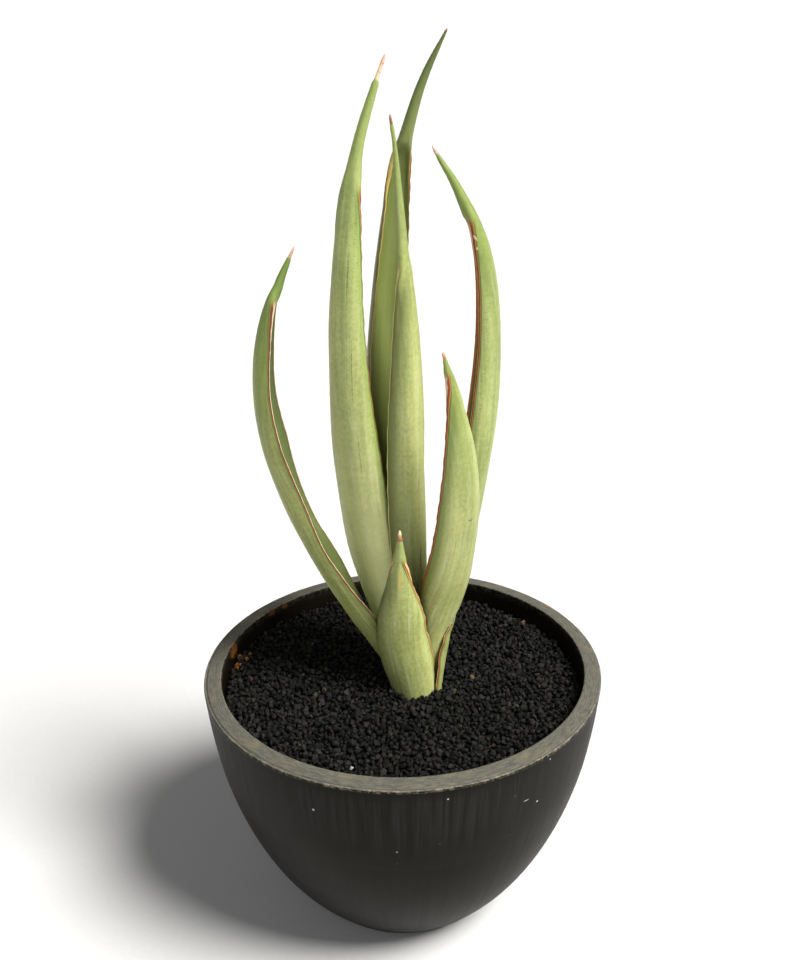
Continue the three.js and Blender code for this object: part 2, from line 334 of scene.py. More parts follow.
# Bowl: outside, rim and inside as [radius, height] in mm, from the foot up and over.
bowl = {
    "outside": [(34, 0), (36.5, 1.6), (43.5, 9), (51.5, 19), (59.1, 31), (65.9, 45), (71.4, 60), (75.4, 75),
                (78.1, 91), (79.6, 104), (79.86, 107.0)],
    "rim": [(79.86, 107.0), (79.98, 107.9), (79.95, 108.35), (79.72, 108.7), (79.35, 108.87),
            (78.4, 109.03), (77.0, 109.32), (75.5, 109.6), (74.4, 109.78), (73.8, 109.84), (73.4, 109.78),
            (73.12, 109.5), (73.0, 109.0)],
    "inside": [(73.0, 109.0), (72.9, 108.0), (72.5, 104), (71.2, 91), (68.2, 75.5), (63.9, 59.5),
               (57.9, 43.5), (50, 29.5), (41, 18), (31.5, 10), (26, 8)],
    "foot": (4, 12, 20, 28),      # radii of the rings under the foot
    "floor": 8,                   # height of the floor inside, and its rings
    "floorRings": (22, 16, 10, 4),
    "steps": 256,
    "groove": 0.42,               # depth of the parting groove near the rim's outer edge
    "grooveRadius": 79.0,
    "grooveWidth": 0.28,
    "wear": 0.07,                 # unevenness of the rim's two edges
    "nicks": ((31, 0.5), (57, 0.4), (83, 0.35), (13, 0.5)),
    "holes": 3,
    "holeRadius": 4.5,
    "holeCircle": 17,
    "holeSteps": 48,
    "sheen": (0.50, 0.42, 0.32),  # tint of the satin's reflections
    "satin": tint(20, 18, 14),
    # darker and browner towards the foot: a painted brown reflection
    "paintedLowReflection": tint(15, 11, 6),
    "cloud": tint(28, 26, 22),
    # bluish grey: partly dust, partly a painted reflection
    "dustAndPaintedReflection": tint(64, 67, 69),
    "dustAndReflectionFrom": (70, 92),         # heights where the band of dust and painted reflection begins and ends
    "dustAndReflectionTo": (102, 108),
    "rim1": tint(99, 98, 88),
    "rim2": tint(71, 70, 65),
    "rimTan": tint(134, 121, 88),
    "rimPale": tint(146, 144, 130),
    "rimWorn": tint(150, 145, 128),
    "rust": tint(148, 94, 42),
    "rustDark": tint(84, 50, 24),
    "lime": tint(214, 208, 190),
    # Scale and rust where water stood at the wall, as [middle, reach, share].
    "stains": [((-71.5, 18.0, 106.8), (3.8, 10.0, 5.4), 1.0), ((-58.0, 45.0, 108.5), (4.5, 4.5, 2.6), 0.5),
               ((-52.5, 50.5, 108.3), (3.0, 3.0, 2.2), 0.45), ((64.2, 46.0, 109.3), (2.6, 2.6, 2.0), 0.8)],
    # Dried specks on the outside, as [x, y, z, radius].
    "specks": [(-32.8, -71.3, 94.9, 0.55), (15, -78, 103.6, 0.42), (-3.2, -76, 78.8, 0.34),
               (12.4, -48.3, 17, 0.5), (63, -44.3, 108.8, 0.4), (53, -59.5, 105.8, 0.34),
               (48.8, -60.2, 87.4, 0.5)],
    "scratch": ((44.2, -64.3, 91.2), (2.4, 2.0, 0.32)),   # its middle and its reach
}


def wallColour(tree, bowl, place, height, dustAndReflection):
    cloud = noise(tree, scaled(tree, place, (0.03, 0.03, 0.04), (2, 9, 4)), 1, 3)
    # Towards the foot, and inside, the wall turns to a painted brown reflection.
    wall = blend(tree, spread(tree, height, 70, 10), bowl["satin"], bowl["paintedLowReflection"])
    wall = coat(tree, wall, bowl["cloud"], spread(tree, cloud, 0.35, 0.7), 0.3)
    return blend(tree, dustAndReflection, wall, bowl["dustAndPaintedReflection"])


def rimColour(tree, bowl, place, brushed, grain):
    # Worn grey with tan traces of scale.
    traces = noise(tree, scaled(tree, place, (0.12, 0.12, 0.4), (5, 1, 0)), 1, 4, 0.65)
    top = blend(tree, spread(tree, brushed, 0.3, 0.7), bowl["rim2"], bowl["rim1"])
    top = coat(tree, top, bowl["rimTan"], spread(tree, traces, 0.5, 0.72), 0.28)
    return coat(tree, top, bowl["rimPale"], spread(tree, grain, 0.54, 0.76), 0.6)


def rusted(tree, bowl, place, grain, colour):
    crumbs = timesPlus(tree, noise(tree, place, 1.1, 4, 0.7), 1.8, -1.0)
    mixed = blend(tree, spread(tree, grain, 0.35, 0.62), bowl["rustDark"], bowl["rust"])
    for centre, reach, share in bowl["stains"]:
        stain = calc(tree, "ADD", spot(tree, place, centre, reach), crumbs)
        colour = coat(tree, colour, mixed, spread(tree, stain, 0.25, 0.6), share)
    return colour


def driedMarks(tree, bowl, place):
    # The listed specks and scratch, and a few fine dots anywhere on the wall.
    marks = 0.0
    for x, y, z, size in bowl["specks"]:
        marks = calc(tree, "MAXIMUM", marks, spot(tree, place, (x, y, z), (size * 1.6,) * 3))
    marks = calc(tree, "MAXIMUM", marks, spot(tree, place, *bowl["scratch"]))
    dots = noise(tree, scaled(tree, place, (1, 1, 1), (3, 3, 3)), 0.9, 1)
    dots = times(tree, spread(tree, dots, 0.83, 0.85), 0.5)
    return calc(tree, "MAXIMUM", spread(tree, marks, 0.35, 0.55), dots)


def satinResin(bowl):
    finish, tree, inputs = newFinish("satinResin", 0.07)
    inputs["Specular Tint"].default_value = (*bowl["sheen"], 1)
    place = reading(tree, "place", "Vector")
    roll = reading(tree, "roll", "Vector")
    rim = reading(tree, "rimShare")
    height = reading(tree, "height")
    streak = noise(tree, scaled(tree, roll, (0.55, 0.55, 0.02)), 1, 3, 0.6)
    fineStreak = noise(tree, scaled(tree, roll, (2.2, 2.2, 0.03), (7, 3, 0)), 1, 3, 0.65)
    grain = noise(tree, place, 3.2, 3, 0.7)
    # Wiped dust and a painted grey-blue reflection: strongest in a band below the shoulder, drawn out
    # in upright streaks.
    band = times(tree, spread(tree, height, *bowl["dustAndReflectionFrom"]), spread(tree, height, *bowl["dustAndReflectionTo"][::-1]))
    wiped = times(tree, spread(tree, fineStreak, 0.0, 1.1), spread(tree, streak, 0.25, 0.75))
    dustAndReflection = times(tree, timesPlus(tree, band, 0.5, 0.06), wiped)
    # The rim's grain is drawn round.
    around = scaled(tree, roll, (0.28, 0.28, 0))
    outward = scaled(tree, reading(tree, "outward", "Vector"), (1, 1, 2.6))
    brushed = noise(tree, vectors(tree, "ADD", around, outward), 1, 4, 0.65)
    colour = blend(tree, rim, wallColour(tree, bowl, place, height, dustAndReflection),
                   rimColour(tree, bowl, place, brushed, grain))
    chips = noise(tree, scaled(tree, roll, (0.55, 0.55, 0.9)), 1, 4, 0.75)
    worn = times(tree, reading(tree, "rimEdge"), spread(tree, chips, 0.43, 0.66))
    colour = coat(tree, colour, bowl["rimWorn"], worn, 0.6)
    colour = rusted(tree, bowl, place, grain, colour)
    marks = driedMarks(tree, bowl, place)
    colour = coat(tree, colour, bowl["lime"], marks, 0.7)
    rough = timesPlus(tree, streak, 0.14, 0.36)
    rough = timesPlus(tree, dustAndReflection, 0.5, rough)
    rough = timesPlus(tree, rim, 0.2, rough)
    rough = timesPlus(tree, marks, 0.3, rough, clamp=True)
    relief = bump(tree, grain, 0.05, 0.5)
    relief = bump(tree, times(tree, brushed, rim), 0.25, 0.6, relief)
    relief = bump(tree, fineStreak, 0.04, 0.4, relief)
    dress(tree, inputs, colour, rough, relief)
    return finish


def bowlProfile(bowl):
    outside, _ = curveThrough(bowl["outside"], 46)
    rim, _ = curveThrough(bowl["rim"], 54)
    inside, _ = curveThrough(bowl["inside"], 40)
    foot = [(r, 0) for r in bowl["foot"]]
    floor = [(r, bowl["floor"]) for r in bowl["floorRings"]]
    return np.vstack([foot, outside[:-1], rim, inside[1:], floor])


def near(values, middle, width):
    # 1 at the middle, falling off to both sides.
    return np.exp(-((values - middle) / width) ** 2)


def turnBowl(bowl):
    profile = bowlProfile(bowl)
    steps = bowl["steps"]
    angle = np.linspace(0, 2 * np.pi, steps, endpoint=False)
    radius = np.repeat(profile[:, :1], steps, 1)
    height = np.repeat(profile[:, 1:], steps, 1)
    # The groove shows most on the front left and nearly closes at the back.
    depth = bowl["groove"] * (0.25 + 0.75 * smooth(0.55 - 0.75 * np.cos(angle - np.radians(45))))
    height = height - depth * near(radius, bowl["grooveRadius"], bowl["grooveWidth"]) * (height > 108)
    edges = near(radius, 79.8, 0.45) + near(radius, 73.3, 0.45)
    nicks = np.abs(waves(angle, bowl["nicks"], 0.6))
    height = height - bowl["wear"] * nicks * edges * (height > 107.5)
    points = np.stack([radius * np.cos(angle), radius * np.sin(angle), height], -1).reshape(-1, 3)
    points = np.vstack([points, [(0, 0, 0), (0, 0, bowl["floor"])]])
    pot = addPiece("bowlOfSatinResin", points, turnedFaces(len(profile), steps), satinResin(bowl))
    chartBowl(pot, pathLength(profile) / 400, steps)
    drillHoles(pot, bowl)
    storeBowl(pot)
    settle(pot, "pot_black", "pot")


def chartBowl(pot, run, steps):
    # Flat layout of the faces: round the bowl and along its profile, with the two fans beside it.
    charted = []
    width, fan = 1 / steps, 0.004
    for v, w in zip(run[:-1], run[1:]):
        for u in np.arange(steps) / steps:
            charted += [u, v, u + width, v, u + width, w, u, w]
    for u in np.arange(steps) / steps:
        charted += [u, 0, u + width, fan, u, fan]
    for u in np.arange(steps) / steps:
        charted += [u, run[-1] + fan, u, run[-1], u + width, run[-1]]
    pot.data.uv_layers.new(name="OFBake").data.foreach_set("uv", charted)


def drillHoles(pot, bowl):
    steps = bowl["holeSteps"]
    start = 0.05             # turns the drill's edges away from the bowl's own
    for k in range(bowl["holes"]):
        turn = math.radians(90 + 360 * k / bowl["holes"])
        ring = [(bowl["holeRadius"] * math.cos(a) + bowl["holeCircle"] * math.cos(turn),
                 bowl["holeRadius"] * math.sin(a) + bowl["holeCircle"] * math.sin(turn))
                for a in np.linspace(start, start + 2 * math.pi, steps, endpoint=False)]
        faces = [(j, (j + 1) % steps, steps + (j + 1) % steps, steps + j) for j in range(steps)]
        faces += [tuple(range(steps - 1, -1, -1)), tuple(range(steps, 2 * steps))]
        drill = addPiece("drill", [(x, y, z) for z in (-5, 15) for x, y in ring], faces, None, False)
        bore = pot.modifiers.new("bore", "BOOLEAN")
        bore.operation = "DIFFERENCE"
        bore.solver = "EXACT"
        bore.object = drill
        bpy.context.view_layer.objects.active = pot
        bpy.ops.object.modifier_apply(modifier=bore.name)
        bpy.data.objects.remove(drill)


def storeBowl(pot):
    # What the finish reads at each point: where it is, its distance out and how far it is rim or edge.
    place = np.zeros(len(pot.data.vertices) * 3)
    pot.data.vertices.foreach_get("co", place)
    place = place.reshape(-1, 3) / mm
    x, y, z = place.T
    out = np.hypot(x, y)
    store(pot, "place", place)
    store(pot, "roll", np.stack([x / (out + 1e-3) * 76, y / (out + 1e-3) * 76, z], 1))
    store(pot, "outward", np.stack([0 * out, 0 * out, out], 1))
    store(pot, "height", z - 400 * (out < 73.0) * (z > 7))       # the inside reads as far below, so it takes the painted low reflection
    store(pot, "rimShare", smooth((z - 108.25) / 0.5) * smooth((out - 73.05) / 0.35))
    edges = near(out, 79.75, 0.3) + 0.8 * near(out, 73.25, 0.22)
    store(pot, "rimEdge", np.clip(edges, 0, 1) * (z > 107.6))


turnBowl(bowl)


# Leaves. In each dictionary: spine in mm, from the buried base to the tip; facing, where the channel opens
# to, in degrees from +X; width between the margins; cup, the depth of the bend; thick, at the keel; throat,
# where the channel ends; hollow, the extra depth of the channel below it; point, the hard tip in mm;
# margins, the widths of the edge bands in mm, on the left and on the right as one looks into the channel;
# skin, what differs from the skin of all leaves; marks, its scars, flecks and stains, and on the centre leaf
# a painted shadow, as [along, across, reach along, reach across, colour, strength].
skin = {
    "lit": tint(182, 188, 119),
    "deep": tint(134, 143, 80),
    "tipGreen": tint(112, 130, 54),
    "tipShare": 0.6,
    "bloom": tint(200, 206, 172),
    "bloomShare": 0.35,
    "fleck": tint(70, 84, 44),
    "channel": tint(80, 90, 36),
    "channelShare": 0.75,
    "cream": tint(226, 204, 168),
    "gold": tint(196, 148, 62),
    "brown": tint(104, 44, 22),
    "line": tint(64, 82, 30),
    "foot": tint(222, 224, 168),   # painted light: a paler lower leaf, against cast shade
    "paintedLightReach": 150,
    "paintedLightShare": 0.0,
    "borderAndPaintedShade": tint(104, 114, 50),  # darker by the margins: partly own colour, partly painted shade
    "borderAndPaintedShadeReach": (3.0, 3.0),     # how far it reaches from the two margins, mm
    "borderAndPaintedShadeShare": (0.4, 0.4),
    "edge": 0.5,                   # thickness at the margin
    "groove": 0.16,                # depth of the furrow inside the margin
    "ribs": 0.07,                  # height of the lengthwise ribs
    # How far each edge band fades inward, mm, and how much it covers.
    "bandSoft": {"cream": (0.0, 0.9), "brown": (0.12, 0.95), "gold": (0.12, 0.9), "line": (0.12, 0.75)},
    "stations": 300,
    "around": 34,                  # steps across each face of the blade
    "specular": 0.4,
}

# Patterns of the skin, as [scale across, along and through it; start; detail; roughness].
patterns = {
    "long": ((0.16, 0.011, 0.2), (0, 0, 0), 3, 0.55),
    "lines": ((1.25, 0.012, 0.2), (0, 0, 0), 3, 0.6),
    "bands": ((0.035, 0.16, 0.2), (0, 0, 0), 3, 0.6),
    "mottle": ((0.9, 0.55, 0.2), (0, 0, 0), 4, 0.65),
    "fine": ((2.6, 1.7, 0.5), (0, 0, 0), 3, 0.6),
    "rubbed": ((0.55, 0.03, 0.2), (9, 4, 0), 4, 0.7),
    "wobble": ((0.2, 0.28, 0.2), (3, 8, 0), 3, 0.6),
    "ragged": ((0.5, 1.3, 0.5), (1, 2, 0), 3, 0.7),
    "dots": ((0.8, 2.1, 0.5), (5, 5, 0), 2, 0.5),
}


def valueAt(table, t):
    # Smooth run through [t, value] pairs without overshoot.
    x, y = np.array(table, float).T
    rise = np.diff(y) / np.diff(x)
    slope = np.concatenate([rise[:1], np.zeros(len(x) - 2), rise[-1:]])
    a, b = rise[:-1], rise[1:]
    same = a * b > 0
    slope[1:-1][same] = 2 * a[same] * b[same] / (a[same] + b[same])
    i = np.clip(np.searchsorted(x, t, side="right") - 1, 0, len(x) - 2)
    h = x[i + 1] - x[i]
    s = np.clip((t - x[i]) / h, 0, 1)
    return ((2 * s ** 3 - 3 * s ** 2 + 1) * y[i] + (s ** 3 - 2 * s ** 2 + s) * h * slope[i]
            + (3 * s ** 2 - 2 * s ** 3) * y[i + 1] + (s ** 3 - s ** 2) * h * slope[i + 1])


def bodyColour(tree, own, at, pattern, bloom, length):
    # Long soft streaks, fine lines, faint cross bands and a fine mottle, under a rubbed bloom.
    tone = timesPlus(tree, pattern["bands"], 0.22, times(tree, pattern["long"], 0.85))
    tone = timesPlus(tree, pattern["mottle"], 0.45, calc(tree, "ADD", tone, -0.06))
    colour = blend(tree, spread(tree, tone, 0.48, 0.92), own["deep"], own["lit"])
    colour = coat(tree, colour, own["deep"], spread(tree, pattern["lines"], 0.52, 0.70), 0.30)
    colour = coat(tree, colour, own["bloom"], spread(tree, pattern["lines"], 0.44, 0.30), 0.22)
    colour = coat(tree, colour, own["fleck"], spread(tree, pattern["fine"], 0.55, 0.70), 0.28)
    colour = blend(tree, bloom, colour, own["bloom"])
    # Olive towards the tip, painted light that makes the foot paler, and deeper in the channel.
    olive = spread(tree, at["tip"], length * 0.42, 0.0)
    foot = spread(tree, at["tip"], length - own["paintedLightReach"], length - 15)
    colour = coat(tree, colour, own["tipGreen"], olive, own["tipShare"])
    colour = coat(tree, colour, own["foot"], foot, own["paintedLightShare"])
    return coat(tree, colour, own["channel"], at["inside"], own["channelShare"])


def eachSide(tree, at, pair):
    return spread(tree, at["rightSide"], 0.0, 1.0, *pair)


def borderedAndShaded(tree, own, at, colour, throat):
    # Darker skin beside the margins of the outer face, which ends at the throat: partly the skin's own
    # colour, partly painted shade on the side turned from the key lamp.
    zone = spread(tree, at["edge"], eachSide(tree, at, own["borderAndPaintedShadeReach"]), 0.4)
    zone = times(tree, zone, eachSide(tree, at, own["borderAndPaintedShadeShare"]))
    zone = times(tree, zone, calc(tree, "SUBTRACT", 1.0, at["inside"]))
    zone = times(tree, zone, spread(tree, at["tip"], throat - 4, throat + 16))
    return blend(tree, zone, colour, own["borderAndPaintedShade"])


def banded(tree, own, at, colour, pattern, margins):
    # From the edge inward: a cream skin, a red-brown band, gold and a dark green line. Dots lie beside them.
    edge, blade = at["edge"], at["blade"]
    beside = times(tree, spread(tree, edge, 4.2, 2.2), spread(tree, edge, 1.2, 1.8))
    dotted = times(tree, times(tree, spread(tree, pattern["dots"], 0.58, 0.66), beside), 0.35)
    colour = coat(tree, colour, own["fleck"], dotted, blade)
    way = timesPlus(tree, pattern["wobble"], 0.5, timesPlus(tree, pattern["ragged"], 0.24, -0.37))
    rim = calc(tree, "ADD", edge, times(tree, way, 0.55))
    end, ends = 0.0, []
    for key in ("cream", "brown", "gold", "line"):
        end = calc(tree, "ADD", end, eachSide(tree, at, margins[key]))
        ends.append((key, end))
    for key, end in reversed(ends):
        soft, strength = own["bandSoft"][key]
        share = spread(tree, calc(tree, "SUBTRACT", end, rim), -soft, 0.12)
        colour = coat(tree, colour, own[key], times(tree, share, blade), strength)
    return colour


def marked(tree, marks, place, fine, colour):
    for along, across, reachAlong, reachAcross, shade, strength in marks:
        mask = spot(tree, place, (across, along, 0), (reachAcross, reachAlong, 400))
        mask = calc(tree, "ADD", mask, timesPlus(tree, fine, 1.9, -1.25))
        colour = coat(tree, colour, shade, spread(tree, mask, 0.3, 0.7), strength)
    return colour


def pointed(tree, point, ragged, tip, colour):
    long = point["length"]
    wander = timesPlus(tree, ragged, 0.8, calc(tree, "SUBTRACT", tip, 0.4))
    horn = blend(tree, spread(tree, wander, long * 0.2, long * 0.75), point["tip"], point["base"])
    horn = blend(tree, spread(tree, ragged, 0.5, 0.68, 0.0, 0.6), horn, point["dark"])
    return blend(tree, spread(tree, wander, long + 0.35, long - 0.35), colour, horn)


def leafSkin(leaf, own, length):
    finish, tree, inputs = newFinish("skin_" + leaf["name"], own["specular"])
    place = reading(tree, "place", "Vector")
    shifted = scaled(tree, place, (1, 1, 1), (leaf["seed"] * 61.0, leaf["seed"] * 23.0, 0))
    pattern = {key: noise(tree, scaled(tree, shifted, size, start), 1, detail, rough)
               for key, (size, start, detail, rough) in patterns.items()}
    at = {key: reading(tree, key) for key in ("edge", "tip", "inside", "blade", "rightSide")}
    bloom = times(tree, spread(tree, pattern["rubbed"], 0.50, 0.72), own["bloomShare"])
    colour = bodyColour(tree, own, at, pattern, bloom, length)
    # The border is partly painted shade on each leaf's unlit side.
    colour = borderedAndShaded(tree, own, at, colour, (1 - leaf["throat"]) * length)
    colour = banded(tree, own, at, colour, pattern, leaf["margins"])
    colour = marked(tree, leaf["marks"], place, pattern["fine"], colour)
    colour = pointed(tree, leaf["point"], pattern["ragged"], at["tip"], colour)
    rough = timesPlus(tree, bloom, 0.5, timesPlus(tree, pattern["mottle"], 0.16, 0.40))
    relief = bump(tree, pattern["fine"], 0.05, 0.45, bump(tree, pattern["lines"], 0.10, 0.5))
    dress(tree, inputs, colour, rough, relief)
    return finish


def column(values):
    return np.asarray(values)[:, None]


def ringOf(outer, inner):
    # The outer face from the first margin to the second, then the inner face back again.
    return np.concatenate([outer, inner[:, -2:0:-1]], 1)


def leafAxes(leaf, t):
    # The centre line, and at each station the directions of the blade's side and of its opening.
    centre, length = curveThrough(leaf["spine"], t)
    along = np.gradient(centre, t, axis=0)
    along /= column(np.linalg.norm(along, axis=1))
    turn = np.radians(valueAt(leaf["facing"], t))
    opening = np.stack([np.cos(turn), np.sin(turn), 0 * turn], 1)
    opening -= along * column((opening * along).sum(1))
    opening /= column(np.linalg.norm(opening, axis=1))
    return centre, np.cross(along, opening), opening, length


def leafSizes(leaf, t, tip):
    # Width, cup and thickness, with the hard point as a narrower horn on the green end.
    width, cup, thick = (valueAt(leaf[key], t) for key in ("width", "cup", "thick"))
    point = leaf["point"]
    share = np.clip(tip / point["length"], 0, 1)
    horn = 0.3 + (point["wide"] - 0.3) * share ** 0.55
    for place, size in point["beads"]:
        horn += size * near(tip, place, 0.7)
    shoulder = smooth((tip - point["length"]) / 1.1)
    width = horn + (np.maximum(width, point["shoulder"]) - horn) * shoulder
    thick = horn + (np.maximum(thick, np.minimum(point["shoulder"], width)) - horn) * shoulder
    return column(width), column(cup * shoulder), column(thick)


def leafSections(leaf, own, t, tip, run):
    # Each station's outline as [sideways, towards the opening], the places across its blade, their
    # distances from the nearer margin, and whether the station has a channel.
    width, cup, thick = leafSizes(leaf, t, tip)
    throat, seed = leaf["throat"], leaf["seed"]
    blade = column(smooth((throat + 0.03 - t) / 0.13))
    opened = column(smooth((throat + 0.004 - t) / 0.018))
    s = -np.cos(np.pi * np.arange(own["around"] + 1) / own["around"])[None, :]
    sag = np.maximum(cup, 0.02 * width)
    half = 2 * np.arctan(2 * sag / width)
    radius = width / (2 * np.sin(half))
    margin = np.minimum(own["edge"], thick)
    shift = (sag + thick / 2 - margin / 2 * blade) / 2
    edge = radius * half * (1 - np.abs(s))
    across = radius * half * s
    fade = np.abs(s) ** 2.4 * blade
    bulge = np.sqrt(np.maximum(0, 1 - np.abs(s) ** (2 * (1 + 11 * blade))))
    body = (thick * (1 - fade) + margin * fade) / 2
    furrow = own["groove"] * near(edge, 2.0, 0.5) * opened
    ribs = own["ribs"] * (np.sin(2.6 * across + 0.9 * np.sin(0.021 * run + seed) + seed)
                          + 0.6 * np.sin(4.3 * across + 1.3 * np.sin(0.017 * run) + 2 * seed))
    ribs = ribs * np.minimum(1, width / 8) * (1 - np.abs(s) ** 6)
    dents = 0.16 * np.sin(0.11 * run + 0.35 * across + 3 * seed) * np.sin(0.043 * run + seed)
    dents = dents * np.minimum(1, width / 10)
    ripple = np.sin(0.55 * run + 2 * seed) + 0.7 * np.sin(1.27 * run + seed)
    ripple = 0.13 * opened * ripple * np.abs(s) ** 8
    hollow = leaf["hollow"] * column(smooth((t - throat + 0.35) / 0.25)) * (1 - s ** 2) ** 0.8 * opened
    a = s * half
    reach = radius * np.sin(a) + np.sign(s) * ripple
    depth = shift - radius * (np.cos(a) - np.cos(half))
    outer = (body + ribs + dents - furrow) * bulge
    inner = (body - 0.4 * ribs - dents - furrow - hollow) * bulge
    outline = ringOf(np.stack([reach + np.sin(a) * outer, depth - np.cos(a) * outer], -1),
                     np.stack([reach - np.sin(a) * inner, depth + np.cos(a) * inner], -1))
    return outline, across, edge, opened


def leafFaces(count, ring):
    # Sides between the rings, and a row across each end.
    rows = np.arange(count)[:, None] * ring
    step = np.arange(ring)[None, :]
    after = (step + 1) % ring
    faces = np.stack([rows + step, rows + step + ring, rows + after + ring, rows + after], -1)
    faces = faces.reshape(-1, 4).tolist()
    for j in range(ring // 2):
        low = tuple(dict.fromkeys((j, j + 1, ring - j - 1, (ring - j) % ring)))
        faces.append(low)
        faces.append(tuple(count * ring + k for k in reversed(low)))
    return faces


def chartLeaf(piece, t, ring):
    # Flat layout of the faces: along the leaf and round it.
    v = np.arange(ring + 1) / ring
    cells = np.empty((len(t) - 1, ring, 4, 2))
    cells[..., 0, 0] = cells[..., 3, 0] = t[:-1, None]
    cells[..., 1, 0] = cells[..., 2, 0] = t[1:, None]
    cells[..., 0, 1] = cells[..., 1, 1] = v[None, :-1]
    cells[..., 2, 1] = cells[..., 3, 1] = v[None, 1:]
    spare = 2 * len(piece.data.loops) - cells.size
    chart = piece.data.uv_layers.new(name="OFBake")
    chart.data.foreach_set("uv", np.concatenate([cells.ravel(), np.zeros(spare)]))


grown = []


def growLeaf(leaf):
    own = {**skin, **leaf["skin"]}
    count, ring = own["stations"], 2 * own["around"]
    t = 1 - (1 - np.linspace(0, 1, count + 1)) ** 1.45       # closer together towards the tip
    centre, side, opening, length = leafAxes(leaf, t)
    tip = (1 - t) * length
    run = column(t * length)
    outline, across, edge, opened = leafSections(leaf, own, t, tip, run)
    points = centre[:, None] + side[:, None] * outline[..., :1] + opening[:, None] * outline[..., 1:]
    points = keepClear(points.reshape(-1, 3))
    faces = leafFaces(count, ring)
    piece = addPiece("blade_" + leaf["name"], points, faces, leafSkin(leaf, own, length))
    chartLeaf(piece, t, ring)
    inside = ringOf(0 * edge, 0 * edge + 1)
    inside[:, [0, own["around"]]] = 0.5
    # On the channel side the bands also run round the end of the channel.
    toThroat = column(np.maximum(0, leaf["throat"] - t) * length)
    run = run + 0 * across
    place = [ringOf(across, across), ringOf(run, run), 30 * inside]
    store(piece, "place", np.stack([values.ravel() for values in place], 1))
    store(piece, "edge", ringOf(edge, np.minimum(edge, 0.7 * toThroat + 0.3)).ravel())
    store(piece, "tip", np.repeat(tip, ring))
    store(piece, "blade", np.repeat(opened, ring))
    store(piece, "inside", (inside * opened).ravel())
    rightSide = (np.sign(across) + 1) / 2
    store(piece, "rightSide", ringOf(rightSide, rightSide).ravel())
    grown.append(BVHTree.FromPolygons(points.tolist(), faces))
    settle(piece, "leaf_green", leaf["name"])


def keepClear(points, room=0.25):
    # Moves what would lie inside an earlier leaf out to its surface. Leaves touch only below 190 mm. A
    # little of the old spacing stays, so that no two points fall together.
    for earlier in grown:
        for k in np.flatnonzero(points[:, 2] <= 190):
            place = Vector(points[k])
            found, normal, _, distance = earlier.find_nearest(place, 12)
            if found is None:
                continue
            gap = (place - found).dot(normal)
            if gap < 0 or (distance < room and gap < room):
                points[k] = found + normal * room + (place - found) * 0.03
    return points


frontShort = {
    "name": "leaf_front_short",
    "seed": 1.0,
    "spine": [(3.6, -9, 92), (3.3, -9.5, 104), (-0.9, -11, 127), (-1.3, -13, 144), (-1.4, -15, 158),
              (-1.1, -17, 172), (-1, -18, 179)],
    "facing": [(0, 82), (1, 85)],
    "width": [(0, 13.8), (0.095, 15.6), (0.187, 18), (0.276, 20.6), (0.36, 20.9), (0.445, 19.6),
              (0.52, 18.4), (0.6, 15.2), (0.67, 11.4), (0.735, 8.9), (0.8, 6.8), (0.85, 5), (0.9, 3.4),
              (0.95, 2), (1, 0.4)],
    "cup": [(0, 8), (0.14, 8.3), (0.35, 7.5), (0.55, 5.6), (0.7, 3), (0.8, 0.8), (0.86, 0), (1, 0)],
    "thick": [(0, 2), (0.35, 3.2), (0.6, 4), (0.78, 4), (0.85, 3.8), (0.925, 1.6), (1, 0.4)],
    "throat": 0.845,
    "hollow": 0.9,
    "point": {"length": 4.7, "wide": 1.6, "shoulder": 1.9, "beads": [(1.6, 0.35), (3.9, 0.5)],
              "tip": tint(234, 208, 176), "base": tint(166, 108, 68), "dark": tint(112, 60, 32)},
    "margins": {"cream": (0.85, 0.8), "brown": (0.28, 0.1), "gold": (0.3, 0.0), "line": (0.3, 0.2)},
    "skin": {"edge": 0.8, "cream": tint(212, 178, 122), "borderAndPaintedShade": tint(92, 98, 52),
             "borderAndPaintedShadeReach": (2.0, 10.0), "borderAndPaintedShadeShare": (0.35, 0.85)},
    "marks": [(67, -0.3, 13, 1.1, tint(206, 172, 96), 0.55), (66, -0.5, 11, 0.6, tint(190, 146, 76), 0.6),
              (24, -1.3, 11, 0.25, tint(88, 104, 48), 0.7), (24.5, 11.0, 4.5, 0.9, tint(140, 62, 34), 0.9),
              (50, 0.8, 26, 0.5, tint(176, 160, 96), 0.3)],
}
growLeaf(frontShort)

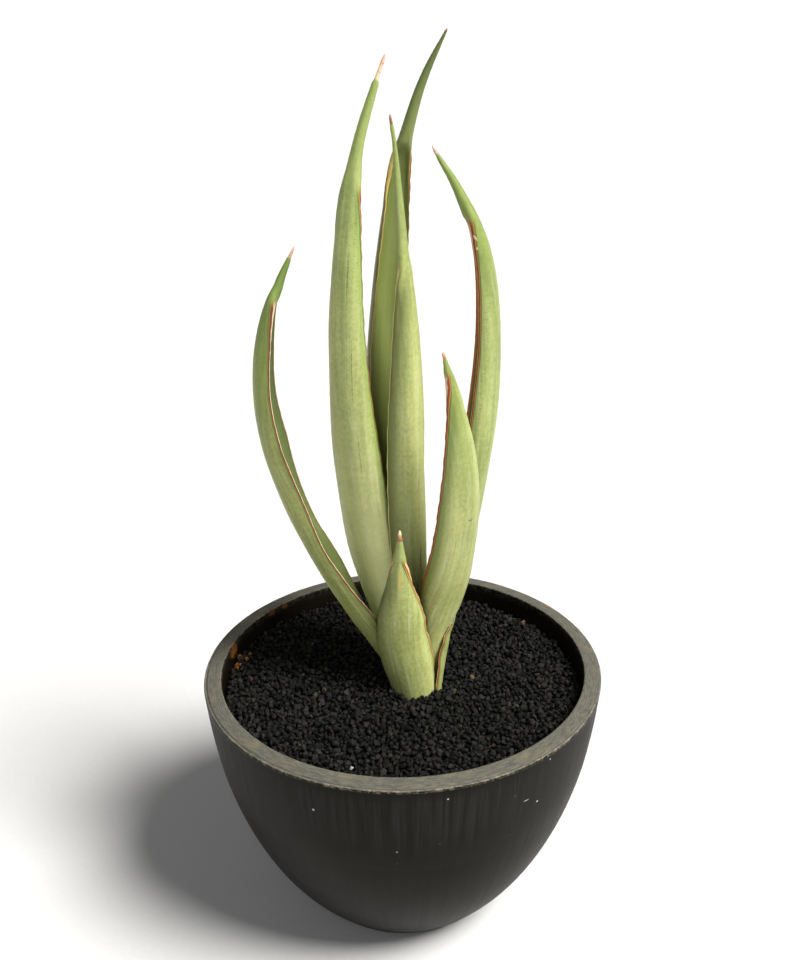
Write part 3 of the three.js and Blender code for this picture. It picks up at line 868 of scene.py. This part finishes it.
right = {
    "name": "leaf_right",
    "seed": 2.0,
    "spine": [(10.9, -1, 92), (10.9, -1, 104), (13.8, 3.5, 120), (15.3, 6.2, 129), (22, 11.5, 151.5),
              (28, 14, 186), (32, 15, 219.5), (33, 15, 248), (30, 14, 276), (23, 13, 296), (12, 12, 313.5)],
    "facing": [(0, 222), (0.075, 218), (0.105, 213), (0.135, 211), (0.155, 221), (0.175, 228), (0.2, 222),
               (0.3, 184), (0.4, 180), (1, 182)],
    "width": [(0, 14), (0.075, 15.5), (0.105, 16.4), (0.135, 19), (0.155, 18.6), (0.175, 16.4), (0.2, 14),
              (0.3, 15), (0.5, 17), (0.65, 14.5), (0.75, 12), (0.82, 9), (0.87, 6), (0.91, 4.1),
              (0.945, 2.8), (0.975, 1.8), (1, 0.5)],
    "cup": [(0, 6), (0.1, 6.5), (0.15, 5.6), (0.2, 5.4), (0.3, 7), (0.5, 8.4), (0.65, 7), (0.75, 5.4),
            (0.83, 3.6), (0.87, 1.8), (0.9, 0.4), (0.92, 0), (1, 0)],
    "thick": [(0, 1.8), (0.1, 2.2), (0.3, 4.4), (0.6, 5), (0.8, 5), (0.87, 5), (0.91, 3.9), (0.945, 2.7),
              (0.975, 1.8), (1, 0.5)],
    "throat": 0.875,
    "hollow": 1.6,
    "point": {"length": 3.2, "wide": 1.25, "shoulder": 1.5, "beads": [(2.2, 0.15)],
              "tip": tint(206, 178, 166), "base": tint(190, 158, 144), "dark": tint(150, 108, 90)},
    "margins": {"cream": (0.0, 0.16), "brown": (0.18, 0.32), "gold": (0.8, 0.2), "line": (0.35, 0.35)},
    "skin": {"cream": tint(206, 178, 122), "gold": tint(186, 104, 40), "tipShare": 0.75,
             "lit": tint(164, 174, 106), "deep": tint(122, 134, 72)},
    "marks": [(195, 4.4, 2.8, 0.7, tint(232, 204, 170), 0.95),
              (191, 5.2, 1.8, 0.7, tint(226, 190, 150), 0.9)],
}
growLeaf(right)

rightShort = {
    "name": "leaf_right_short",
    "seed": 3.0,
    "spine": [(9.4, -3, 92), (9.9, -2.7, 104), (12.7, -2.9, 127), (19.8, -7.5, 157), (23, -12, 188),
              (21.5, -15.5, 215.5), (18.5, -17, 234), (15, -18, 248)],
    "facing": [(0, 120), (0.25, 112), (0.5, 130), (1, 138)],
    "width": [(0, 8), (0.1, 9.2), (0.19, 11), (0.225, 12.4), (0.26, 15.2), (0.3, 18.2), (0.42, 21.8),
              (0.6, 19.4), (0.75, 13.9), (0.85, 8.7), (0.9, 6), (0.945, 3.2), (0.98, 1.4), (1, 0.4)],
    "cup": [(0, 2.5), (0.1, 3), (0.3, 5.5), (0.6, 6), (0.75, 4), (0.87, 1.5), (0.92, 0), (1, 0)],
    "thick": [(0, 2), (0.3, 3.8), (0.6, 4.2), (0.85, 3.6), (0.9, 3.6), (0.945, 2.8), (0.98, 1.3), (1, 0.4)],
    "throat": 0.95,
    "hollow": 1.6,
    "point": {"length": 2.6, "wide": 1.3, "shoulder": 1.8, "beads": [(0.9, 0.45)],
              "tip": tint(200, 158, 130), "base": tint(172, 126, 94), "dark": tint(120, 72, 46)},
    "margins": {"cream": (0.05, 0.14), "brown": (0.35, 0.52), "gold": (0.1, 0.24), "line": (0.25, 0.35)},
    "skin": {"brown": tint(128, 56, 24), "gold": tint(186, 120, 52), "borderAndPaintedShade": tint(112, 126, 58),
             "borderAndPaintedShadeReach": (1.5, 6.5), "borderAndPaintedShadeShare": (0.2, 0.9)},
    "marks": [(91.6, 0.0, 0.9, 2.2, tint(38, 34, 22), 0.95), (48, 4.2, 9, 0.5, tint(214, 218, 188), 0.55),
              (44, 1.0, 9, 0.7, tint(206, 212, 182), 0.5), (38, 2.6, 7, 0.4, tint(214, 218, 188), 0.5),
              (76, 4.6, 26, 0.3, tint(78, 96, 42), 0.55), (104, 2.2, 20, 0.25, tint(92, 110, 50), 0.4)],
}
growLeaf(rightShort)

left = {
    "name": "leaf_left",
    "seed": 4.0,
    "spine": [(-1, -2.5, 92), (-2.5, -2, 104), (-11.6, -1, 124), (-25.8, -4, 152), (-38.4, -5, 179.5),
              (-46.8, -5, 208), (-49.7, -4, 229.5), (-47, -3, 255.5), (-42.8, -2.5, 269),
              (-36.5, -2, 281.5)],
    "facing": [(0, 30), (0.15, 24), (0.26, 16), (0.33, 6), (0.4, 0), (0.45, 4), (0.5, 6), (0.56, 4),
               (0.64, -2), (1, -3)],
    "width": [(0, 6), (0.1, 8), (0.22, 18), (0.33, 15.5), (0.42, 12.5), (0.5, 13.5), (0.6, 16.3),
              (0.75, 12), (0.84, 8), (0.89, 5), (0.93, 3), (0.967, 1.9), (1, 0.4)],
    "cup": [(0, 2), (0.1, 3), (0.25, 6), (0.33, 6), (0.42, 5.2), (0.5, 6), (0.6, 6.3), (0.75, 4.7),
            (0.8, 4.1), (0.86, 2.8), (0.9, 1.4), (0.93, 0), (1, 0)],
    "thick": [(0, 2), (0.1, 3), (0.25, 4.5), (0.6, 4.5), (0.8, 4.6), (0.89, 4.3), (0.93, 3.2), (0.967, 2),
              (1, 0.4)],
    "throat": 0.9,
    "hollow": 1.6,
    "point": {"length": 4.1, "wide": 1.2, "shoulder": 1.6, "beads": [(1.4, 0.2)],
              "tip": tint(206, 172, 152), "base": tint(196, 160, 132), "dark": tint(140, 96, 74)},
    "margins": {"cream": (0.16, 0.0), "brown": (0.4, 0.22), "gold": (0.0, 0.08), "line": (0.35, 0.35)},
    # Its lit and deep colours are darker: painted shade for a leaf that faces away from the key lamp.
    "skin": {"brown": tint(80, 36, 20), "channel": tint(62, 78, 42), "tipGreen": tint(94, 120, 48),
             "tipShare": 0.85, "borderAndPaintedShade": tint(92, 100, 44), "borderAndPaintedShadeReach": (5.0, 4.0),
             "borderAndPaintedShadeShare": (0.55, 0.5), "lit": tint(160, 166, 96), "deep": tint(118, 128, 66)},
    "marks": [(34.2, -2.9, 1.0, 0.8, tint(224, 222, 206), 0.95)],
}
growLeaf(left)

tallLeft = {
    "name": "leaf_tall_left",
    "seed": 5.0,
    "spine": [(1.5, -1, 92), (0.5, -0.5, 104), (-6, 4, 131), (-13.5, 5.5, 162.5), (-18.5, 2, 203.5),
              (-20, -3, 248), (-17.8, -6, 289), (-14.2, -7, 314.5), (-8.5, -6.5, 333), (-4, -5.5, 345)],
    "facing": [(0, 70), (0.3, 65), (1, 60)],
    "width": [(0, 6), (0.05, 7), (0.18, 17.5), (0.27, 21.5), (0.4, 20), (0.5, 17.2), (0.6, 13.9),
              (0.7, 11.1), (0.78, 8.9), (0.83, 6.7), (0.88, 4.1), (0.93, 3.1), (0.965, 2.3), (1, 0.5)],
    "cup": [(0, 2), (0.2, 6.5), (0.5, 6), (0.7, 4), (0.8, 1.5), (0.86, 0), (1, 0)],
    "thick": [(0, 2), (0.2, 4), (0.6, 4.2), (0.78, 4.4), (0.83, 4.6), (0.88, 3.9), (0.93, 3), (0.965, 2.2),
              (1, 0.5)],
    "throat": 0.83,
    "hollow": 1.6,
    "point": {"length": 8.4, "wide": 1.55, "shoulder": 2.1, "beads": [(2.6, 0.35)],
              "tip": tint(206, 170, 146), "base": tint(220, 198, 166), "dark": tint(150, 92, 58)},
    "margins": {"cream": (0.0, 0.0), "brown": (0.38, 0.4), "gold": (0.16, 0.22), "line": (0.45, 0.35)},
    # The paler foot of this leaf is painted light, lifting the shadow of the centre and short right leaves.
    "skin": {"paintedLightShare": 0.6, "tipGreen": tint(104, 130, 50), "borderAndPaintedShade": tint(112, 146, 50),
             "borderAndPaintedShadeReach": (4.2, 3.0), "borderAndPaintedShadeShare": (0.6, 0.45)},
    "marks": [(184, -2.0, 28, 0.5, tint(92, 108, 46), 0.85), (148, -3.5, 32, 0.5, tint(92, 108, 46), 0.8),
              (112, -4.1, 28, 0.45, tint(92, 108, 46), 0.7),
              (172, 2.0, 40, 1.1, tint(206, 208, 160), 0.25)],
}
growLeaf(tallLeft)

centre = {
    "name": "leaf_centre",
    "seed": 6.0,
    "spine": [(5, 2, 92), (5.5, 2, 104), (5.5, 4.5, 126), (4.3, 5.5, 156), (3.3, 4.5, 191), (3.2, 2, 237.5),
              (2.2, 1, 273.5), (0.5, 0.5, 298.5), (-1, 0, 316.5), (-2.5, 0, 325.5)],
    "facing": [(0, 130), (0.3, 138), (0.7, 140), (1, 150)],
    "width": [(0, 6), (0.05, 7), (0.2, 15.4), (0.35, 18.4), (0.5, 16.8), (0.6, 13.8), (0.7, 10), (0.75, 7),
              (0.79, 4.8), (0.84, 3.7), (0.9, 2.8), (0.95, 1.7), (0.98, 1), (1, 0.4)],
    "cup": [(0, 2), (0.2, 5), (0.5, 6), (0.65, 4.5), (0.75, 2), (0.8, 0), (1, 0)],
    "thick": [(0, 2), (0.2, 4), (0.5, 4.2), (0.7, 4), (0.79, 4), (0.84, 3.4), (0.9, 2.6), (0.95, 1.7),
              (0.98, 1), (1, 0.4)],
    "throat": 0.78,
    "hollow": 1.4,
    "point": {"length": 3.3, "wide": 1.1, "shoulder": 1.4, "beads": [(1.2, 0.15)],
              "tip": tint(170, 124, 106), "base": tint(132, 84, 64), "dark": tint(104, 60, 44)},
    "margins": {"cream": (0.3, 0.38), "brown": (0.0, 0.0), "gold": (0.2, 0.12), "line": (0.15, 0.2)},
    "skin": {"cream": tint(214, 208, 142), "gold": tint(176, 150, 74), "borderAndPaintedShade": tint(88, 96, 40),
             "borderAndPaintedShadeReach": (2.0, 8.0), "borderAndPaintedShadeShare": (0.2, 0.9)},
    # The three dark green marks are a painted shadow cast by leaf_right_short.
    "marks": [(64, 0.0, 17, 0.9, tint(58, 74, 42), 0.7), (62, -2.7, 24, 0.6, tint(62, 78, 44), 0.6),
              (52, 1.7, 9, 1.0, tint(58, 74, 42), 0.6)],
}
growLeaf(centre)

tallBack = {
    "name": "leaf_tall_back",
    "seed": 7.0,
    "spine": [(4, 6, 92), (3.5, 6.5, 104), (-1, 13, 146), (-5.2, 15, 187), (-6.4, 15.5, 228.5),
              (-4.1, 16.5, 267.5), (0.5, 18, 306), (5, 17, 324), (9.5, 17, 336.5), (17, 16, 351.5)],
    "facing": [(0, -58), (0.6, -58), (0.72, -54), (0.8, -70), (0.86, -86), (1, -90)],
    "width": [(0, 10), (0.2, 16), (0.4, 17), (0.55, 16), (0.7, 12.5), (0.78, 9), (0.83, 6.5), (0.86, 4.6),
              (0.9, 3.6), (0.95, 2.4), (0.98, 1.4), (1, 0.4)],
    "cup": [(0, 3), (0.2, 6), (0.55, 6), (0.7, 4), (0.8, 2), (0.86, 0), (1, 0)],
    "thick": [(0, 2), (0.2, 4), (0.6, 4.2), (0.8, 4.2), (0.86, 4), (0.9, 3.3), (0.95, 2.4), (0.98, 1.4),
              (1, 0.4)],
    "throat": 0.845,
    "hollow": 2.0,
    "point": {"length": 1.4, "wide": 0.8, "shoulder": 1.1, "beads": [(0.8, 0.1)], "tip": tint(120, 86, 70),
              "base": tint(96, 84, 52), "dark": tint(80, 56, 38)},
    "margins": {"cream": (0.2, 0.0), "brown": (0.0, 0.1), "gold": (0.2, 0.2), "line": (0.3, 0.2)},
    "skin": {"cream": tint(190, 168, 96), "gold": tint(168, 140, 66), "tipGreen": tint(80, 94, 42),
             "tipShare": 0.95, "borderAndPaintedShade": tint(94, 102, 46), "borderAndPaintedShadeReach": (6.0, 4.0),
             "borderAndPaintedShadeShare": (0.8, 0.5), "channel": tint(92, 104, 40), "channelShare": 0.8},
    "marks": [],
}
growLeaf(tallBack)


# Lava grit: a bed that fills the bowl, darkened as painted shade between the grains, and loose grains
# dropped on it one by one.
grit = {
    "seed": 7,
    "grains": 7000,
    "size": (0.72, 1.5),  # smallest and largest grain radius, mm
    "surface": 103.9,     # mean height of the grains' tops, mm
    "fall": 0.012,        # slope of the surface towards +X and +Y
    "rise": (1.2, 30.0),  # heap round the plant: height and reach
    "wall": 72.3,         # radius that the grains stay within, mm
    "nearPlant": 37.4,    # radius within which a grain may meet a leaf, mm
    "nesting": 0.86,      # how far apart two grains rest, as a share of their radii
    "standOut": 0.35,     # how far a grain may stand out of the surface, mm
    "tries": 14,          # places tried for each grain: the lowest wins
    "chips": 7,           # flat sides broken off each grain
    "shapes": 28,         # different grain shapes
    "bedDepth": 4.0,      # how far the bed lies under the grains' tops
    "bedBottom": 8.3,
    "bedRows": 46,
    "bedSteps": 150,
    "black": tint(4, 4, 4),
    "grey": tint(28, 27, 24),
    "red": tint(48, 31, 27),
    "tan": tint(100, 80, 60),
    "olive": tint(56, 52, 32),
    "white": tint(176, 172, 160),
    "rust": tint(122, 80, 36),
    "redBelow": 0.006,    # shares of reddish and of olive grains
    "oliveBetween": (0.010, 0.016),
    "whiteSize": 0.6,     # size of the white grains beside the others
    # Grains that stand out by colour, as [x, y, kind]. The kinds are 1 red, 2 tan, 3 olive, 4 white, 5 rust.
    "odd": [(-28, -37.2, 1), (32.6, -46.8, 1), (-3.8, -57.1, 1), (54.4, 48.7, 2), (26.7, 0.2, 2),
            (-32.5, -6.6, 3), (-38.5, 24.7, 2), (-18.9, -60.1, 4), (-62.8, -0.6, 1)],
    "rustPlace": ((-70.5, 17.5), 7.5),   # middle and reach of the rusty patch at the wall
    "parts": 3,           # meshes that the grains are shared out among
}


def gritTop(x, y):
    heap = grit["rise"][0] * np.exp(-(x * x + y * y) / grit["rise"][1] ** 2)
    ripples = 0.5 * np.sin(0.31 * x + 0.7) * np.cos(0.27 * y - 0.4) + 0.25 * np.sin(0.53 * y + 0.19 * x)
    return grit["surface"] + heap - grit["fall"] * (x + y) + ripples


def lavaStone(name):
    finish, tree, inputs = newFinish(name, 0.2)
    where = tree.nodes.new("ShaderNodeTexCoord").outputs["Object"]
    pores = noise(tree, where, 1500, 3, 0.65)
    coarse = noise(tree, where, 420, 2, 0.5)
    shade = timesPlus(tree, pores, 0.55, times(tree, reading(tree, "tone"), 0.75))
    shade = timesPlus(tree, coarse, 0.3, shade)
    colour = blend(tree, spread(tree, shade, 0.42, 1.25), grit["black"], grit["grey"])
    kind = reading(tree, "kind")
    for number, key in enumerate(("red", "tan", "olive", "white", "rust"), 1):
        chosen = calc(tree, "COMPARE", kind, float(number), 0.3)
        patchy = times(tree, chosen, spread(tree, pores, 0.30, 0.55, 0.45, 0.95))
        colour = blend(tree, patchy, colour, grit[key])
    relief = bump(tree, pores, 0.22, 0.8, bump(tree, coarse, 0.35, 0.5))
    dress(tree, inputs, colour, timesPlus(tree, pores, 0.3, 0.55), relief)
    return finish


def layBed(finish):
    # Down in the bowl it follows the wall, and its top is the rough floor that the grains fall on.
    rows, steps, bottom = grit["bedRows"], grit["bedSteps"], grit["bedBottom"]
    wall, _ = curveThrough([(r - 0.3, z + 0.3) for r, z in reversed(bowl["inside"]) if z < 96], 24)
    below = np.array([(2, bottom), (14, bottom), *wall])
    radius = np.concatenate([below[:, 0], np.linspace(71.2, 1.5, rows)])
    angle = np.linspace(0, 2 * np.pi, steps, endpoint=False)
    x, y = column(radius) * np.cos(angle), column(radius) * np.sin(angle)
    rough = np.random.default_rng(grit["seed"] + 1).normal(0, 0.35, x.shape)
    z = gritTop(x, y) - grit["bedDepth"] + rough
    z[:len(below)] = below[:, 1:]
    points = np.stack([x, y, z], -1).reshape(-1, 3)
    points = np.vstack([points, [(0, 0, bottom), (0, 0, float(gritTop(0, 0)) - grit["bedDepth"])]])
    bed = addPiece("bedOfLavaGrit", points, turnedFaces(len(radius), steps), finish)
    # Its low tone is painted shade, darkening the gaps between the loose grains.
    store(bed, "tone", np.full(len(points), 0.1))
    store(bed, "kind", np.zeros(len(points)))
    settle(bed, "lava_grit", "substrate")


def grainShapes(draw):
    # Lumpy broken pieces: a cut ball, its corners pushed in and out and a few sides chipped flat.
    bpy.ops.mesh.primitive_ico_sphere_add(subdivisions=2, radius=1)
    ball = bpy.context.object
    corners = np.array([v.co for v in ball.data.vertices])
    sides = np.array([p.vertices for p in ball.data.polygons])
    bpy.data.objects.remove(ball)
    shapes = []
    for _ in range(grit["shapes"]):
        shape = corners * draw.uniform(0.74, 1.22, (len(corners), 1))
        for _ in range(grit["chips"]):
            facing = draw.normal(size=3)
            facing /= np.linalg.norm(facing)
            over = np.maximum(0, shape @ facing - draw.uniform(0.42, 0.8))
            shape = shape - over[:, None] * facing
        shapes.append(shape * draw.uniform(0.8, 1.3, 3))
    return shapes, sides


def clearOfLeaves(place, size):
    # Not touching a leaf, and not inside one: a line out of it crosses its skin an even number of times.
    for leaf in grown:
        if leaf.find_nearest(Vector(place), size * 0.9)[0] is not None:
            return False
        start, crossings = Vector(place), 0
        heading = Vector((0.31, -0.94, 0.13)).normalized()
        while crossings < 12:
            found = leaf.ray_cast(start, heading, 60)[0]
            if found is None:
                break
            crossings += 1
            start = found + heading * 0.01
        if crossings % 2:
            return False
    return True


def restingPlace(draw, size, cells, cell):
    # A place at random, and how high the grain rests there on the bed or on the grains of nearby cells.
    out = (grit["wall"] - size) * math.sqrt(draw.random())
    turn = draw.uniform(0, 2 * math.pi)
    x, y = out * math.cos(turn), out * math.sin(turn)
    top = float(gritTop(x, y))
    rest = top - grit["bedDepth"] + 0.3 * size
    i, j = int(x // cell), int(y // cell)
    around = [(a, b) for a in (i - 1, i, i + 1) for b in (j - 1, j, j + 1)]
    for px, py, pz, ps in (grain for key in around for grain in cells.get(key, ())):
        touch = (size + ps) * grit["nesting"]
        gap = touch * touch - (x - px) ** 2 - (y - py) ** 2
        if gap > 0:
            rest = max(rest, pz + math.sqrt(gap))
    return rest + size - top, x, y, rest


def dropGrains(draw):
    low, high = grit["size"]
    cell = 2 * high
    cells = {}
    placed = []
    for _ in range(grit["grains"] * 2):
        if len(placed) >= grit["grains"]:
            break
        size = low + (high - low) * draw.random() ** 1.4
        spots = sorted(restingPlace(draw, size, cells, cell) for _ in range(grit["tries"]))
        for over, x, y, z in spots[:4]:
            if over > grit["standOut"]:
                break
            if math.hypot(x, y) < grit["nearPlant"] and not clearOfLeaves((x, y, z), size):
                continue
            cells.setdefault((int(x // cell), int(y // cell)), []).append((x, y, z, size))
            placed.append((x, y, z, size))
            break
    print("grains poured:", len(placed))
    return np.array(placed)


def grainKinds(draw, x, y, z, size):
    kinds = np.zeros(len(x))
    chance = draw.random(len(x))
    low, high = grit["oliveBetween"]
    kinds[chance < grit["redBelow"]] = 1
    kinds[(chance > low) & (chance < high)] = 3
    # The grain nearest each listed place, sooner one that lies on top.
    surface = np.clip(z + size - gritTop(x, y), -2, 0.3)
    for oddX, oddY, kind in grit["odd"]:
        kinds[np.argmin(np.hypot(x - oddX, y - oddY) - 1.2 * surface)] = kind
    (rustX, rustY), reach = grit["rustPlace"]
    rusty = np.hypot(x - rustX, (y - rustY) * 0.75) / reach
    kinds[rusty + 0.9 * draw.random(len(x)) < 1.0] = 5
    return kinds


def pourGrains(finish):
    draw = np.random.default_rng(grit["seed"])
    shapes, sides = grainShapes(draw)
    placed = dropGrains(draw)
    kinds = grainKinds(draw, *placed.T)
    tones = draw.random(len(placed)) ** 1.3
    share = len(placed) // grit["parts"] + 1
    for part in range(grit["parts"]):
        points, faces, tone, kind = [], [], [], []
        for k in range(part * share, min((part + 1) * share, len(placed))):
            spin = np.array(Matrix.Rotation(draw.uniform(0, 2 * math.pi), 3, Vector(draw.normal(size=3))))
            size = placed[k, 3] * (grit["whiteSize"] if kinds[k] == 4 else 1)
            shape = shapes[draw.integers(len(shapes))] @ spin.T * size + placed[k, :3]
            faces.append(sides + len(points) * len(shape))
            points.append(shape)
            tone.append(np.full(len(shape), tones[k]))
            kind.append(np.full(len(shape), kinds[k]))
        grains = addPiece("looseGrains_%d" % (part + 1), np.vstack(points), np.vstack(faces), finish, False)
        store(grains, "tone", np.concatenate(tone))
        store(grains, "kind", np.concatenate(kind))
        settle(grains, "lava_grit")


stone = lavaStone("lavaStone")
layBed(stone)
pourGrains(stone)

print("done")
